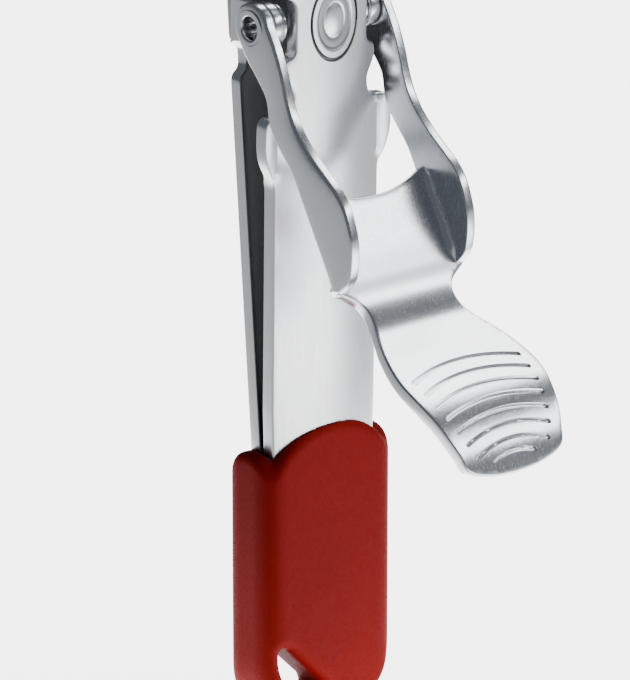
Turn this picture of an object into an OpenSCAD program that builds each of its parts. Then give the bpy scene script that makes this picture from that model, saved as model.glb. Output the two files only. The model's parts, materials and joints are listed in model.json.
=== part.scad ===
// Nail clipper with two sprung jaw strips, a forked folding lever and a moulded end cap.
// Frame: +Z runs along the clipper towards the cutting edges, -Y is the lever's side,
// +X is to the right. The origin is the centre of the end cap's bottom face.

/* [Overall] */
// Height of the lever's axle above the bottom face
axle_z = 54.6; // [53.2:0.1:57]
// Axle's place across the thickness
axle_y = -0.3; // [-0.5:0.05:0]
// Height of the cutting edges above the axle
head_h = 6.6; // [6.2:0.1:7.5]

/* [Jaws] */
// Width of the jaw strips
jaw_w = 10.1; // [9.6:0.1:10.2]
// Width across the front jaw's wings
wing_w = 12.2; // [11.8:0.1:12.4]
// Thickness of the jaw strips
strip_t = 1.1; // [1:0.02:1.16]
// Radius of the strips' crowned section
crown_r = 16; // [15:0.5:18]
// Height where the jaw strips start to part
bend_z = 21.4; // [20.2:0.1:21.6]
// Forward lean of the open front jaw in degrees
front_lean = 0.9; // [0.7:0.1:1]
// Rearward lean of the rear jaw in degrees
rear_lean = 4.3; // [4.2:0.1:4.6]
// Angle that the front jaw closes through in degrees
close_angle = 3.6; // [3.4:0.1:3.6]

/* [Lever] */
// Width across the lever
lever_w = 12.44; // [12.4:0.02:12.8]
// Thickness of the lever's sheet
lever_t = 1; // [0.9:0.02:1]
// Angle of the resting lever, forward of straight down
lever_rest = 30; // [30:0.5:34]
// Radius of the arms' round ends
boss_r = 1.85; // [1.8:0.05:2]

/* [Eyelets] */
// Outside radius of the hollow rivets that are the lever's axle
eyelet_r = 1.15; // [1.1:0.01:1.15]
// Radius of the hole through them
eyelet_hole_r = 0.85; // [0.7:0.05:0.9]
// Running clearance around the rivets
running = 0.05; // [0.03:0.01:0.08]

/* [End cap] */
// Width of the end cap
cap_w = 13; // [12.8:0.1:13.6]
// Thickness of the end cap
cap_t = 5.4; // [5.3:0.1:6]
// Height of the cap's sides, which end in a round
cap_h = 22; // [21.6:0.1:22.2]
// Radius of the cap's upright edges
cap_edge_r = 2; // [1.5:0.1:2.4]
// Radius of the cap's two bottom corners
cap_end_r = 5.9; // [5:0.1:6]
// Height of the front tongue
front_tongue_h = 23.8; // [23.2:0.1:24.2]
// Height of the rear tongue
rear_tongue_h = 22.2; // [22.2:0.1:22.6]

/* [Hidden] */
$fn = 64;
steel = "silver";
cap_red = "firebrick";

// Jaws: every height below is measured from bend_z, every depth from the plane between the strips
strip_gap = 0.11;
split_y = -0.2;
half_jaw = jaw_w / 2;
axle_h = axle_z - bend_z;
tail_z = 10.7;
crown_c = sqrt(crown_r * crown_r - half_jaw * half_jaw);
edge_y = strip_gap / 2 + crown_c - sqrt(pow(crown_r - strip_t, 2) - half_jaw * half_jaw);
edge_gap = 0.04;
edge_y_closed = 2.5;
tip_h = axle_h + head_h;
bevel_r = 30;
bevel_angle = 36;
bevel_drop = 0.72;
wing_forward = 0.25;
bend_lap = 0.6;
neck_hw = 3.4;

// Ears of the rear jaw
ear_in = 4.1;
ear_out = 5.1;
ear_r = 1.7;

// Eyelets
eyelet_in = 3.75;
flange_t = 0.29;
flange_r = 1.55;
flare_t = 0.22;
flare_r = 1.4;

// Cap
pocket_gap = 0.1;
lean_gap = 0.28;
bottom_r = 1.2;
tongue_r = 7;
tongue_depth = 1.4;
side_top_r = 3;
window_r = 4.2;
window_right = 0.4;
window_corner = 2;
window_top = 6.8;
rivet_r = 1;
rivet_fit = 0.02;
rivet_z = [13.7, 18.5];

// A smooth curve through a list of points, with n steps between each two
function between(a, b, c, d, t) = 0.5 * (2 * b + (c - a) * t
    + (2 * a - 5 * b + 4 * c - d) * t * t + (3 * b - a - 3 * c + d) * t * t * t);
function curve(p, n) = concat([for (i = [0 : len(p) - 2], k = [0 : n - 1])
    between(p[max(i - 1, 0)], p[i], p[i + 1], p[min(i + 2, len(p) - 1)], k / n)], [p[len(p) - 1]]);
function reversed(p) = [for (i = [len(p) - 1 : -1 : 0]) p[i]];
function mirrored(p) = [for (i = [len(p) - 1 : -1 : 0]) [-p[i][0], p[i][1]]];
function across(p, i) = let (d = p[min(i + 1, len(p) - 1)] - p[max(i - 1, 0)]) [d[1], -d[0]] / norm(d);

// Depth in a jaw's own frame of a point at depth y and height h, for a jaw that leans by a degrees
function own_y(y, h, a) = y * cos(a) + h * sin(a);

// Draws a shape of the YZ plane as a prism of width w centred on x
module side_prism(w, x = 0) {
    translate([x - w / 2, 0, 0]) rotate([90, 0, 90]) linear_extrude(w) children();
}

// Draws a shape of the XZ plane as a prism from depth y0 to y1
module front_prism(y0, y1) {
    translate([0, y1, 0]) rotate([90, 0, 0]) linear_extrude(y1 - y0) children();
}

// ---- Jaw strips. They are drawn facing -Y, and the rear jaw's are mirrored. ----

// Solid behind the crowned outer face
module crown_solid(clear = 0) {
    translate([0, crown_c - edge_y]) circle(crown_r + clear, $fn = 128);
}

module strip_section(w) {
    intersection() {
        difference() {
            crown_solid();
            crown_solid(-strip_t);
        }
        translate([-w / 2, -3]) square([w, 4]);
    }
}

// Outline of a jaw's right side above the notches, up to the cutting edge's corner
head_corner = [[half_jaw - 0.05, axle_h + 2.7], [half_jaw - 0.05, tip_h - 0.5], [half_jaw - 0.35, tip_h]];

front_side = concat(
    [[half_jaw - 0.1, 0.08], [half_jaw, 4]],
    curve([for (p = [[half_jaw, -12], [5.3, -11.2], [5.85, -10.1], [wing_w / 2, -9], [wing_w / 2, -7.6],
        [6, -6.9], [5.6, -6.5], [5.05, -6.45], [4.4, -6.4], [3.8, -6.05], [3.55, -5.3], [3.6, -4.7],
        [4, -4.1], [4.35, -3.5], [4.4, -2.9], [4.2, -2.4], [3.7, -2.2]]) p + [0, axle_h]], 3),
    [[neck_hw, axle_h - 2], [neck_hw, axle_h + 1.8], [neck_hw + 0.3, axle_h + 2.1],
        [half_jaw - 0.4, axle_h + 2.3]],
    head_corner);

rear_side = concat(
    [[half_jaw - 0.05, -bend_lap], [half_jaw - 0.05, axle_h - 4.5], [half_jaw - 0.4, axle_h - 4.05],
        [4.3, axle_h - 4], [4, axle_h - 3.7], [4, axle_h - 2.3], [4.3, axle_h - 2],
        [half_jaw - 0.1, axle_h - 1.5], [half_jaw - 0.1, axle_h + 1.5], [4.3, axle_h + 1.9],
        [half_jaw - 0.4, axle_h + 2.3]],
    head_corner);

// Bent and ground end of a jaw: the block between the strip and the cutting edge
module head_block(tip_y) {
    intersection() {
        side_prism(jaw_w) polygon([[-3, axle_h + 2.4], [-3, tip_h], [tip_y, tip_h], [tip_y - 0.1, tip_h - 1.4],
            [tip_y - 0.5, tip_h - 2.5], [tip_y - 1.2, tip_h - 3.4], [tip_y - 1.5, axle_h + 2.4]]);
        linear_extrude(tip_h) crown_solid();
    }
}

// Round-bottomed bevel that makes the curved cutting edge
module edge_bevel(tip_y) {
    translate([0, tip_y, tip_h - bevel_drop]) rotate([-bevel_angle, 0, 0])
        translate([0, -bevel_r, 0]) cylinder(r = bevel_r, h = 30, center = true, $fn = 128);
}

// Blade above the bend, with the right side's outline given from the bottom up
module blade(side, tip_y, bottom_h = 0) {
    difference() {
        intersection() {
            union() {
                translate([0, 0, bottom_h]) linear_extrude(axle_h + 5 - bottom_h) strip_section(wing_w);
                head_block(tip_y);
            }
            front_prism(-4, 4) polygon(concat(side, mirrored(side)));
        }
        edge_bevel(tip_y);
    }
}

// Flat wings that the lever's arms bear on
module wings() {
    for (s = [-1, 1])
        intersection() {
            translate([s * (half_jaw + wing_w / 2 - 0.5) / 2, -edge_y - wing_forward + strip_t / 2,
                axle_h - 9.2])
                cube([wing_w / 2 - half_jaw + 0.5, strip_t, 5.6], center = true);
            front_prism(-4, 4) polygon(concat(front_side, mirrored(front_side)));
        }
}

module leaning(a) {
    translate([0, split_y, bend_z]) rotate([a, 0, 0]) children();
}

module rivet_holes(r) {
    for (z = rivet_z)
        translate([0, 0, z]) rotate([90, 0, 0]) cylinder(r = r, h = 12, center = true);
}

module upright_tail(lap = 0) {
    difference() {
        translate([0, split_y, tail_z]) linear_extrude(bend_z + lap - tail_z) strip_section(jaw_w - 0.2);
        rivet_holes(rivet_r + rivet_fit);
    }
}

module front_jaw() {
    color(steel) leaning(front_lean) {
        blade(front_side, own_y(edge_y_closed, tip_h, front_lean - close_angle) - edge_gap);
        wings();
    }
}

module front_jaw_tail() {
    color(steel) upright_tail();
}

// Ear that carries the axle, bent forward from the rear jaw
module ear(s) {
    x = s * (ear_in + ear_out) / 2;
    t = ear_out - ear_in;
    difference() {
        translate([x, axle_y, axle_z]) rotate([-rear_lean, 0, 0]) {
            rotate([0, 90, 0]) cylinder(r = ear_r, h = t, center = true);
            translate([-t / 2, 0, -ear_r]) cube([t, 3.1, 2 * ear_r]);
        }
        axle_bore(eyelet_r + running);
    }
}

module rear_jaw() {
    color(steel) {
        translate([0, 2 * split_y, 0]) mirror([0, 1, 0]) {
            leaning(rear_lean) blade(rear_side, -own_y(edge_y_closed, tip_h, -rear_lean), -bend_lap);
            upright_tail(bend_lap);
        }
        for (s = [-1, 1]) ear(s);
    }
}

module tail_rivets() {
    color(steel) intersection() {
        rivet_holes(rivet_r);
        translate([0, split_y, 0]) linear_extrude(bend_z) intersection() {
            crown_solid();
            mirror([0, 1]) crown_solid();
        }
    }
}

// ---- Eyelets: two hollow rivets on the lever's axle ----

module axle_bore(r) {
    translate([0, axle_y, axle_z]) rotate([0, 90, 0]) cylinder(r = r, h = 2 * lever_w, center = true);
}

module eyelet(s) {
    out = lever_w / 2;
    color(steel) translate([0, axle_y, axle_z]) rotate([0, s * 90, 0]) rotate_extrude()
        polygon([[eyelet_hole_r, eyelet_in], [flange_r, eyelet_in], [flange_r, eyelet_in + flange_t],
            [eyelet_r, eyelet_in + flange_t], [eyelet_r, out - flare_t], [flare_r, out],
            [eyelet_hole_r, out]]);
}

module eyelet_left() { eyelet(-1); }

module eyelet_right() { eyelet(1); }

// ---- Lever. It is drawn hanging straight down from the axle: -Z is along it, -Y is its front. ----

// Points are distances along the lever and forward of its arms' centre line
function hung(p) = [for (q = p) [-q[1], -q[0]]];

arm_rear = [[0.4, -1.8], [2, -1.66], [3.6, -1.3], [4.8, -1.1], [5.5, -1.2], [6.25, -1.49], [7, -1.7],
    [8.2, -1.68], [9.6, -1.4], [11, -1.1], [13, -1.08], [16, -1.08], [18.5, -1.12], [20.3, -1.2]];
arm_front = [[20.3, -0.3], [19.9, 0.9], [19, 1.8], [17.5, 2.7], [16.2, 3.05], [14.8, 3.2], [13.5, 2.95],
    [12.3, 2.45], [10.6, 1.7], [9.4, 1.3], [8.3, 1.05], [7.1, 1], [5.7, 1.2], [4.2, 1.55], [2.4, 1.78],
    [0.6, 1.78]];
sheet = [[12.3, -0.1], [15, -0.1], [17.5, -0.1], [19.5, -0.2], [21.5, -0.3], [23.5, 0.15], [24.9, 0.9],
    [26.3, 1.85], [27.8, 2.85], [29.3, 3.85], [30.6, 4.5], [32, 4.95], [33.6, 5.15], [35, 5.1],
    [36.8, 4.7]];
plan_side = [[19.9, 6.2], [20.4, 5.9], [20.9, 5.1], [21.5, 4.35], [22.4, 4.1], [23.5, 4.3], [24.9, 5.05],
    [26.3, 5.7], [27.7, 6.1], [28.8, 6.2], [30, 6.1], [31.4, 5.8], [33, 5.4], [34.4, 4.95], [35.2, 4.75],
    [35.7, 4.3], [36.1, 3.3], [36.4, 1.8], [36.5, 0]];
web_edge_r = 11.9;
web_edge_u = 2;
curve_steps = 4;

module arm_outline() {
    circle(boss_r);
    polygon(hung(concat(curve(arm_rear, 3), curve(arm_front, 3))));
}

module sheet_outline() {
    p = curve(sheet, curve_steps);
    back = [for (i = [0 : len(p) - 1]) p[i] + lever_t * across(p, i)];
    polygon(hung(concat(p, reversed(back))));
}

module plan_outline() {
    p = [for (q = curve(plan_side, curve_steps)) [q[1], -q[0]]];
    difference() {
        polygon(concat([[lever_w / 2, -12.5]], p, mirrored(p), [[-lever_w / 2, -12.5]]));
        translate([0, -web_edge_u]) circle(web_edge_r, $fn = 128);
    }
}

module lever() {
    color(steel) difference() {
        translate([0, axle_y, axle_z]) rotate([-lever_rest, 0, 0]) {
            for (s = [-1, 1]) side_prism(lever_t, s * (lever_w - lever_t) / 2) arm_outline();
            intersection() {
                side_prism(lever_w) sheet_outline();
                front_prism(-8, 3) plan_outline();
            }
        }
        axle_bore(eyelet_r + running);
        for (s = [-1, 1])
            translate([s * lever_w / 2, axle_y, axle_z]) rotate([0, -s * 90, 0])
                cylinder(r1 = flare_r + running, r2 = eyelet_r + running, h = flare_t);
    }
}

// ---- End cap ----

// Rounded rectangle of the XY plane, centred
module round_rect(w, d, r) {
    square([w - 2 * r, d], center = true);
    square([w, d - 2 * r], center = true);
    for (x = [-1, 1], y = [-1, 1]) translate([x * (w / 2 - r), y * (d / 2 - r)]) circle(r);
}

// Shape from the bottom up to a height, with two round bottom corners
module round_bottom(w, h, r) {
    translate([-w / 2, r]) square([w, h - r]);
    translate([-w / 2 + r, 0]) square([w - 2 * r, 2 * r]);
    for (x = [-1, 1]) translate([x * (w / 2 - r), r]) circle(r);
}

// Side view of the cap's sides up to a height, with a round top
module round_top(w, h, r) {
    translate([-w / 2, 0]) square([w, h - r]);
    intersection() {
        translate([0, h - r]) circle(r);
        translate([-w / 2, h - r - r / 2]) square([w, 2 * r]);
    }
}

// Rounded tongue on the cap's front or rear face
module tongue(h) {
    translate([0, h - tongue_r]) intersection() {
        circle(tongue_r);
        translate([-cap_w / 2, 0]) square([cap_w, tongue_r]);
    }
}

// Pocket for the strips from z up, with a clearance behind the rear one
module pocket(z, rear_gap) {
    translate([0, split_y, z]) linear_extrude(cap_h) intersection() {
        crown_solid(pocket_gap);
        mirror([0, 1]) crown_solid(rear_gap);
        square([jaw_w + 2 * pocket_gap, cap_t], center = true);
    }
}

// Key-ring window in the bottom left corner
module window_outline() {
    corner_x = cap_end_r - cap_w / 2;
    polygon(concat([for (a = [180 : 10 : 270]) [corner_x + window_r * cos(a), cap_end_r + window_r * sin(a)]],
        [[window_right, cap_end_r - window_r], [window_right, window_corner],
            [window_right + window_corner - window_top, window_top],
            [corner_x - window_r, window_top - 0.4]]));
}

module end_cap() {
    half_t = cap_t / 2;
    color(cap_red) difference() {
        intersection() {
            linear_extrude(front_tongue_h) round_rect(cap_w, cap_t, cap_edge_r);
            side_prism(cap_w) round_bottom(cap_t, front_tongue_h, bottom_r);
            union() {
                intersection() {
                    front_prism(-half_t, half_t) round_bottom(cap_w, cap_h, cap_end_r);
                    side_prism(cap_w) round_top(cap_t, cap_h, side_top_r);
                }
                front_prism(-half_t, -half_t + tongue_depth) tongue(front_tongue_h);
                front_prism(half_t - tongue_depth, half_t) tongue(rear_tongue_h);
            }
        }
        pocket(tail_z - pocket_gap, pocket_gap);
        pocket(bend_z, lean_gap);
        front_prism(-cap_t, cap_t) window_outline();
    }
}

rear_jaw();
front_jaw();
front_jaw_tail();
tail_rivets();
end_cap();
lever();
eyelet_left();
eyelet_right();
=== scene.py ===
"""Nail clipper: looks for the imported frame. Shapes are worked out in millimetres and made in metres."""
import json
import math
import bpy
import numpy as np
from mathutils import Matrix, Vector
from mathutils.geometry import delaunay_2d_cdt

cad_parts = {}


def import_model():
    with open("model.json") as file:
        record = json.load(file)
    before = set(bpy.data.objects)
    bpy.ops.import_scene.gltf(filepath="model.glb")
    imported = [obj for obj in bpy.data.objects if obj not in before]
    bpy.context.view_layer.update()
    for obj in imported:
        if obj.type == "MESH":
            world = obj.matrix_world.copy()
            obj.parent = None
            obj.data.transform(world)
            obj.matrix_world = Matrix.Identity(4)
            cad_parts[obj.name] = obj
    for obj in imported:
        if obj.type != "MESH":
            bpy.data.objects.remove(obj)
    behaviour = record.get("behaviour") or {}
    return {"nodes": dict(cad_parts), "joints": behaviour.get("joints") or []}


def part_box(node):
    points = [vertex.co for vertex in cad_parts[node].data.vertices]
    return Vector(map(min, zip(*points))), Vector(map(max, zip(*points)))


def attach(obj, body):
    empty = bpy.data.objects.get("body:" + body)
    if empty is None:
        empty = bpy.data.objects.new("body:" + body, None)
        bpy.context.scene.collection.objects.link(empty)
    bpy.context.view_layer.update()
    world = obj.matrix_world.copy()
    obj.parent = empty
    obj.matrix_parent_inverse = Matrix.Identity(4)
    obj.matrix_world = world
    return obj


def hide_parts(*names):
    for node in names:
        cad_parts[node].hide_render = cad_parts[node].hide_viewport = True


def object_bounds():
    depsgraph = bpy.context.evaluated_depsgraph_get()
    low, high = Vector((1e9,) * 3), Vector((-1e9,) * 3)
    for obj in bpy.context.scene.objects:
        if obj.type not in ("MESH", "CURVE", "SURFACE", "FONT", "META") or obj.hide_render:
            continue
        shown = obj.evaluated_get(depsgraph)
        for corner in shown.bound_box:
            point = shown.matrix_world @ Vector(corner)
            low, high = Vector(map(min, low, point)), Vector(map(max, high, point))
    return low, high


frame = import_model()
cad_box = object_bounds()

MM = 0.001
JOINTS = {j["name"]: j for j in frame["joints"]}


def box_mm(node):
    """Lowest and highest corner of a CAD node, in millimetres."""
    low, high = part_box(node)
    return np.array(low) / MM, np.array(high) / MM


# ---- Driving sizes, from the frame where it holds them ----

AXLE = np.array(JOINTS["lever_press"]["pos_m"]) / MM
BEND = np.array(JOINTS["jaw_close"]["pos_m"]) / MM
LEVER_W = 2 * box_mm("lever")[1][0]
CAP_W, CAP_T, CAP_TOP = box_mm("end_cap")[1] * [2, 2, 1]
TAIL_Z = box_mm("rear_jaw")[0][2]

# Jaw strips: thickness, radius of the crowned face, half width, and the gap between them at the bend
STRIP_T = 1.1
CROWN_R = 16.0
HALF_JAW = 5.05
STRIP_GAP = 0.11
# Heights above the bend of the axle and of the cutting ends
AXLE_H = AXLE[2] - BEND[2]
TIP_H = AXLE_H + 6.6
# How far each strip leans outward at rest, and how far the front one swings to close
FRONT_LEAN = math.radians(0.9)
REAR_LEAN = math.radians(4.3)
CLOSE_ANGLE = math.radians(3.6)
# Depth of the cutting edge inside its strip, and the gap left between the closed edges
EDGE_DEPTH = 2.5
EDGE_GAP = 0.06
# Half width of the front jaw's neck, and the ears beside it
NECK_HW = 3.4
EAR_IN, EAR_OUT, EAR_R = 4.1, 5.1, 1.7
EYELET_R, EYELET_HOLE_R = 1.15, 0.85
EYELET_PLAY = 0.05
# Lever sheet and its angle from upright at rest
SHEET_T = 1.0
LEVER_REST = math.radians(30)
# Distance between the points of every outline
OUTLINE_STEP = 0.22


# ---- Curves and outlines in a plane ----

def curve(points, n=4):
    """Smooth curve through the points, with n steps between each two."""
    p = np.array(points, float)
    a, b, c, d = (p[np.clip(np.arange(len(p) - 1) + k, 0, len(p) - 1)] for k in (-1, 0, 1, 2))
    steps = []
    for t in np.arange(n) / n:
        steps.append(0.5 * (2 * b + (c - a) * t + (2 * a - 5 * b + 4 * c - d) * t * t
                            + (3 * b - a - 3 * c + d) * t ** 3))
    inner = np.stack(steps, 1).reshape(-1, p.shape[1])
    return np.vstack([inner, p[-1:]])


def mirrored(points):
    """Points of a right side, taken back down the left side."""
    return np.array(points)[::-1] * [-1, 1]


def arc(centre, radius, start, end, n):
    """Points on an arc, with angles in degrees."""
    a = np.radians(np.linspace(start, end, n + 1))
    return np.array(centre) + radius * np.stack([np.cos(a), np.sin(a)], 1)


def resampled(loop, spacing):
    """Closed loop with its points about one spacing apart, and corners kept."""
    out = []
    for a, b in zip(loop, np.roll(loop, -1, 0)):
        n = max(1, round(np.linalg.norm(b - a) / spacing))
        out.append(a + (b - a) * np.arange(n)[:, None] / n)
    return np.vstack(out)


def softened(loop, times=2):
    """Closed loop with its corners cut round."""
    for _ in range(times):
        after, before = np.roll(loop, -1, 0), np.roll(loop, 1, 0)
        loop = 0.5 * loop + 0.25 * (after + before)
    return loop


def inward(loop):
    """Direction into the material at each point of a loop that has its material on the left."""
    ahead = np.roll(loop, -1, 0) - loop
    ahead /= np.linalg.norm(ahead, axis=1)[:, None]
    side = np.stack([-ahead[:, 1], ahead[:, 0]], 1)
    both = side + np.roll(side, 1, 0)
    both /= np.maximum(np.linalg.norm(both, axis=1), 0.2)[:, None]
    return both / np.maximum((both * side).sum(1), 0.6)[:, None]


def distance_to(points, loop):
    """Distance of each point to a closed loop, and whether the point is inside it."""
    a, b = loop, np.roll(loop, -1, 0)
    near, inside = np.full(len(points), 1e9), np.zeros(len(points), bool)
    for p, q in zip(a, b):
        d = q - p
        t = np.clip((points - p) @ d / max(d @ d, 1e-12), 0, 1)
        near = np.minimum(near, np.linalg.norm(points - p - t[:, None] * d, axis=1))
        if p[1] != q[1]:
            crosses = (p[1] > points[:, 1]) != (q[1] > points[:, 1])
            inside ^= crosses & (points[:, 0] < p[0] + (points[:, 1] - p[1]) * d[0] / d[1])
    return near, inside


def grid_inside(loops, spacing, fine):
    """Even points inside the first loop and outside the others, clear of their edges and of finer points."""
    low, high = loops[0].min(0), loops[0].max(0)
    xs = np.arange(round(low[0] / spacing), round(high[0] / spacing) + 1) * spacing
    ys = np.arange(low[1], high[1], spacing)
    grid = np.stack(np.meshgrid(xs, ys), -1).reshape(-1, 2)
    for i, loop in enumerate(loops):
        near, inside = distance_to(grid, loop)
        grid = grid[(inside == (i == 0)) & (near > 0.45 * spacing)]
    if len(fine):
        cells = set(map(tuple, np.round(fine / spacing / 0.7).astype(int)))
        keep = [tuple(c) not in cells for c in np.round(grid / spacing / 0.7).astype(int)]
        grid = grid[np.array(keep)]
    return grid


def fill(loops, spacing, fine, creases):
    """Triangles over the area between loops. Returns the added points and the faces."""
    edges, start = [], 0
    for loop in loops:
        n = len(loop)
        edges += [(start + i, start + (i + 1) % n) for i in range(n)]
        start += n
    fine = np.array(fine, float).reshape(-1, 2)
    for i, loop in enumerate(loops):
        if len(fine):
            near, inside = distance_to(fine, loop)
            fine = fine[(inside == (i == 0)) & (near > 0.04)]
    extra = [fine, grid_inside(loops, spacing, fine)]
    start += sum(map(len, extra))
    for line in creases:
        edges += [(start + i, start + i + 1) for i in range(len(line) - 1)]
        start += len(line)
        extra.append(np.array(line))
    points = np.vstack([*loops, *extra])
    found = delaunay_2d_cdt([Vector(p) for p in points], edges, [list(range(len(loops[0])))], 1, 1e-6)
    names, added = [], []
    boundary = sum(map(len, loops))
    for p, sources in zip(found[0], found[3]):
        first = min(sources) if sources else boundary
        if first < boundary:
            names.append(first)
        else:
            names.append(boundary + len(added))
            added.append(tuple(p))
    places = np.array([tuple(p) for p in found[0]])
    faces = [f for f in found[2] if len(f) == 3]
    if len(loops) > 1:
        middles = np.array([places[list(f)].mean(0) for f in faces])
        outside = np.ones(len(faces), bool)
        for hole in loops[1:]:
            outside &= ~distance_to(middles, hole)[1]
        faces = [f for f, keep in zip(faces, outside) if keep]
    return np.array(added).reshape(-1, 2), [[names[i] for i in f] for f in faces]


# Most of a plate's thickness that one rounded rim may take
RIM_SHARE = 0.46


def plate(loops, front, back, edge, spacing, fine=((), ()), creases=((), ()), steps=4):
    """Closed mesh between two surfaces over a plane area, with round edges.

    loops: outline with its material on the left, then any holes.
    front, back: functions from plane points to places in space.
    edge: radius at the front and back rim, as numbers or one value for each outline point.
    fine, creases: points and lines that the front and back face must have.
    """
    outline = np.vstack(loops)
    into = np.vstack([inward(loop) for loop in loops])
    thick = np.linalg.norm(back(outline) - front(outline), axis=1)
    ends = np.cumsum([0] + [len(loop) for loop in loops])
    turn = np.radians(np.linspace(0, 90, steps + 1))
    verts, faces, rims = [], [], []
    total = 0
    for side, r in enumerate(edge):
        r = np.minimum(r, RIM_SHARE * thick)
        order = turn if side == 0 else turn[::-1]
        for a in order:
            flat = outline + into * (r * (1 - math.sin(a)))[:, None]
            f, b = front(flat), back(flat)
            depth = r * (1 - math.cos(a))
            share = (depth / np.maximum(np.linalg.norm(b - f, axis=1), 1e-6))[:, None]
            verts.append(f + (b - f) * share if side == 0 else b + (f - b) * share)
            rims.append((flat, total))
            total += len(outline)
    for (_, a), (_, b) in zip(rims, rims[1:]):
        for s, e in zip(ends, ends[1:]):
            for i in range(s, e):
                j = s + (i + 1 - s) % (e - s)
                faces.append((a + i, b + i, b + j, a + j))
    for side, (flat, first) in enumerate((rims[0], rims[-1])):
        parts = [flat[s:e] for s, e in zip(ends, ends[1:])]
        added, tris = fill(parts, spacing, fine[side], creases[side])
        start = total - len(outline)
        for t in tris:
            ids = [first + i if i < len(outline) else start + i for i in t]
            faces.append(ids if side == 0 else ids[::-1])
        if len(added):
            verts.append((front, back)[side](added))
            total += len(added)
    return np.vstack(verts), faces


# ---- Objects ----

def new_object(name, verts, faces):
    """Object from places in millimetres."""
    mesh = bpy.data.meshes.new(name)
    places = [tuple(v) for v in np.array(verts) * MM]
    mesh.from_pydata(places, [], [tuple(int(i) for i in f) for f in faces])
    mesh.validate()
    obj = bpy.data.objects.new(name, mesh)
    bpy.context.scene.collection.objects.link(obj)
    return obj


def ring_faces(rings, n, closed):
    """Quads between neighbouring rings of n points each, and back to the first ring if closed."""
    faces = []
    for i in range(rings if closed else rings - 1):
        here, after = i * n, (i + 1) % rings * n
        faces += [(here + k, here + (k + 1) % n, after + (k + 1) % n, after + k) for k in range(n)]
    return faces


def outward(obj):
    """Turns the faces of a closed mesh outward."""
    mesh = obj.data
    mesh.calc_loop_triangles()
    n = len(mesh.loop_triangles)
    co = np.zeros(len(mesh.vertices) * 3)
    mesh.vertices.foreach_get("co", co)
    tri = np.zeros(n * 3, int)
    mesh.loop_triangles.foreach_get("vertices", tri)
    a, b, c = co.reshape(-1, 3)[tri.reshape(-1, 3)].transpose(1, 0, 2)
    if (a * np.cross(b, c)).sum() < 0:
        mesh.flip_normals()
    return obj


def combined(base, others):
    """Base with each of the others joined to it."""
    for other in others:
        change = base.modifiers.new("change", "BOOLEAN")
        change.operation = "UNION"
        change.solver = "EXACT"
        change.object = other
    bpy.context.view_layer.update()
    made = bpy.data.meshes.new_from_object(base.evaluated_get(bpy.context.evaluated_depsgraph_get()))
    base.modifiers.clear()
    base.data = made
    for other in others:
        bpy.data.objects.remove(other)
    return base


def shade_painted_inside(obj, side, nearest):
    """Painted shade: darker, duller steel on the faces turned to the other jaw, standing in for the shade
    between the jaws.

    side: the way they face along Y, 1 or -1. nearest: their least Y.
    """
    obj.data.materials.append(INNER_PAINTED_SHADE)
    for face in obj.data.polygons:
        if face.normal.y * side > 0.5 and face.center.y > nearest * MM:
            face.material_index = 1
    return obj


def finished(obj, material, body, slot, *nodes, angle=32):
    """Shades a piece, gives it its material and ties it to the frame."""
    obj.data.shade_smooth()
    obj.data.set_sharp_from_angle(angle=math.radians(angle))
    weighted = obj.modifiers.new("weighted", "WEIGHTED_NORMAL")
    weighted.keep_sharp = True
    obj.data.materials.clear()
    obj.data.materials.append(material)
    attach(obj, body)
    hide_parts(*nodes)
    return obj


# ---- Materials ----

def shader(name, **values):
    """New material, its node tree and its surface node with the given values."""
    material = bpy.data.materials.new(name)
    material.use_nodes = True
    tree = material.node_tree
    bsdf = tree.nodes["Principled BSDF"]
    for key, value in values.items():
        bsdf.inputs[key.replace("_", " ")].default_value = value
    return material, tree, bsdf


def stretched_noise(tree, scale, stretch, detail=4.0):
    """Noise in an object's own space, stretched along Z."""
    place = tree.nodes.new("ShaderNodeTexCoord")
    mapping = tree.nodes.new("ShaderNodeMapping")
    mapping.inputs["Scale"].default_value = (1, 1, 1 / stretch)
    noise = tree.nodes.new("ShaderNodeTexNoise")
    noise.inputs["Scale"].default_value = scale
    noise.inputs["Detail"].default_value = detail
    tree.links.new(place.outputs["Object"], mapping.inputs["Vector"])
    tree.links.new(mapping.outputs["Vector"], noise.inputs["Vector"])
    return noise.outputs["Fac"]


def mapped(tree, value, from_low, from_high, to_low, to_high):
    """Value moved from one range to another."""
    node = tree.nodes.new("ShaderNodeMapRange")
    node.inputs["From Min"].default_value = from_low
    node.inputs["From Max"].default_value = from_high
    node.inputs["To Min"].default_value = to_low
    node.inputs["To Max"].default_value = to_high
    tree.links.new(value, node.inputs["Value"])
    return node


def ranged(tree, noise, low, high):
    """The middle range of a noise, stretched to low-high."""
    return mapped(tree, noise, 0.3, 0.7, low, high).outputs["Result"]


def bumped(tree, bsdf, value, strength, depth):
    """Small relief in the surface, depth in metres."""
    bump = tree.nodes.new("ShaderNodeBump")
    bump.inputs["Strength"].default_value = strength
    bump.inputs["Distance"].default_value = depth
    tree.links.new(value, bump.inputs["Height"])
    tree.links.new(bump.outputs["Normal"], bsdf.inputs["Normal"])


def mixed_colour(tree, bsdf, factor, dark, light):
    """Base colour between a dark and a light one."""
    mix = tree.nodes.new("ShaderNodeMix")
    mix.data_type = "RGBA"
    colours = [socket for socket in mix.inputs if socket.type == "RGBA"]
    colours[0].default_value = (*dark, 1)
    colours[1].default_value = (*light, 1)
    tree.links.new(factor, mix.inputs[0])
    result = [socket for socket in mix.outputs if socket.type == "RGBA"]
    tree.links.new(result[0], bsdf.inputs["Base Color"])


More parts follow.
